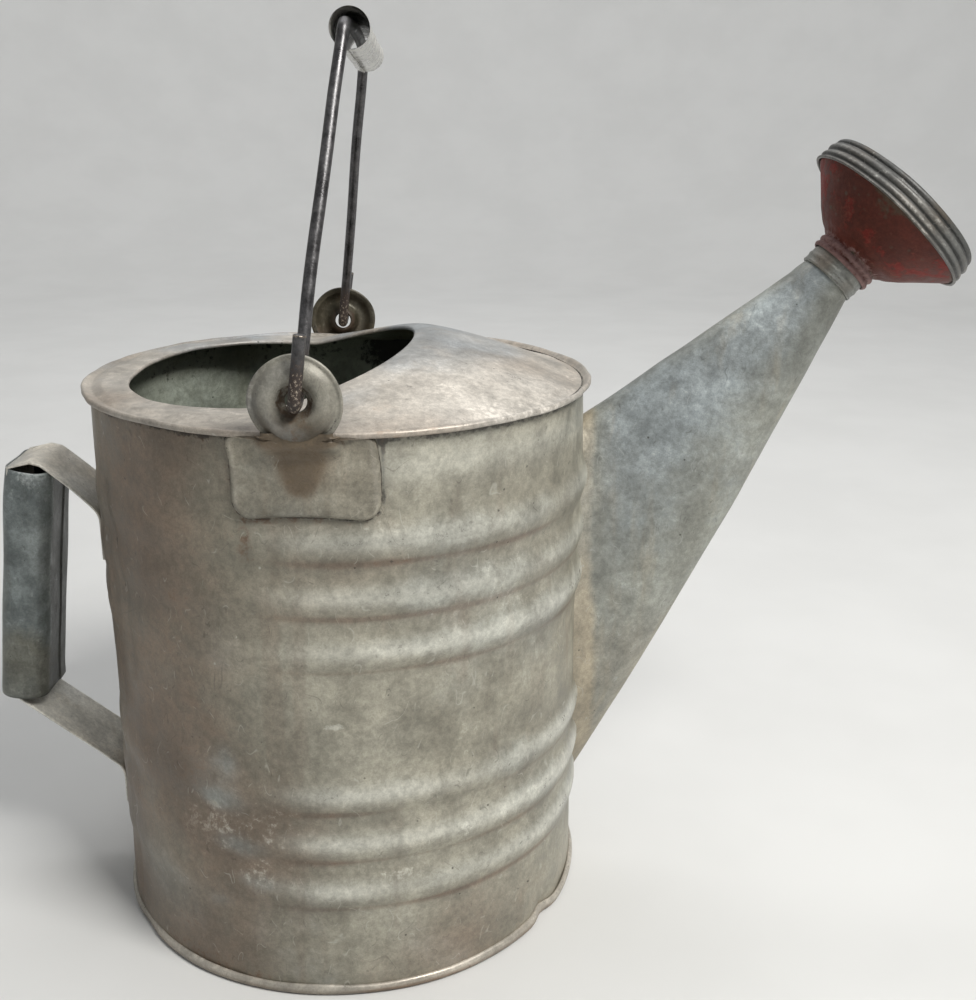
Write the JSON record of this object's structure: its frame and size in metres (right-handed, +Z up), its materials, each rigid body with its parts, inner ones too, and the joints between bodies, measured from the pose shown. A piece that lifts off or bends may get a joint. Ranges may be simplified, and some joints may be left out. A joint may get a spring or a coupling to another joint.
{
  "type": "galvanised watering can",
  "caption": "Weathered galvanised watering can with a beaded round body, hooded top, long tapering spout with a push-on red rose, swinging wire bail and rear strap handle.",
  "frame": {"origin": "on the body's axis, at the recessed base plate's underside, which is level with the floor within the depth of its recess", "axes": "+X towards the spout, +Y away from the near ear, +Z up; -Z is the way the base plate faces"},
  "size_m": [0.4615, 0.2555, 0.4148],
  "materials": {
    "body_sheet": "dull galvanised sheet, warm grey with brown stain and pale oxide",
    "base_sheet": "dull galvanised sheet with rust along the foot",
    "cover_sheet": "rubbed galvanised sheet, pinkish beige",
    "ear_metal": "worn stamped steel with brown stain",
    "bail_steel": "dark drawn wire, rust brown at the hooks",
    "grip_tin": "worn bright tin",
    "strap_steel": "dull grey-brown strap",
    "sleeve_zinc": "dark blue-grey spangled zinc",
    "spout_sheet": "blue-grey to olive-grey galvanised sheet, scratched",
    "collar_sheet": "dull grey collar",
    "rose_paint": "chalky dark red paint, scratched and stained",
    "rose_ring": "dull ribbed ring with dark grooves"
  },
  "bodies": {
    "can": {"body_wall": "body_sheet", "base_plate": "base_sheet", "top_cover": "cover_sheet", "near_ear": "ear_metal", "far_ear": "ear_metal", "handle_strap": "strap_steel", "handle_sleeve": "sleeve_zinc", "spout": "spout_sheet", "spout_collar": "collar_sheet"},
    "bail": {"bail_wire": "bail_steel"},
    "grip": {"bail_grip": "grip_tin"},
    "rose": {"rose_cone": "rose_paint", "rose_face": "rose_ring"}
  },
  "joints": [
    {"name": "bail_swing", "type": "hinge", "parent": "can", "child": "bail", "pos_m": [-0.0082, 0, 0.2674], "axis": [0, 0.9996, -0.0289], "range_deg": [-94, 78]},
    {"name": "grip_spin", "type": "hinge", "parent": "bail", "child": "grip", "pos_m": [0.01006, 0.00407, 0.40796], "axis": [0, 0.9996, -0.0289], "continuous": true},
    {"name": "rose_pull", "type": "slide", "parent": "can", "child": "rose", "axis": [0.682, 0, 0.7314], "range_m": [0, 0.03]}
  ]
}
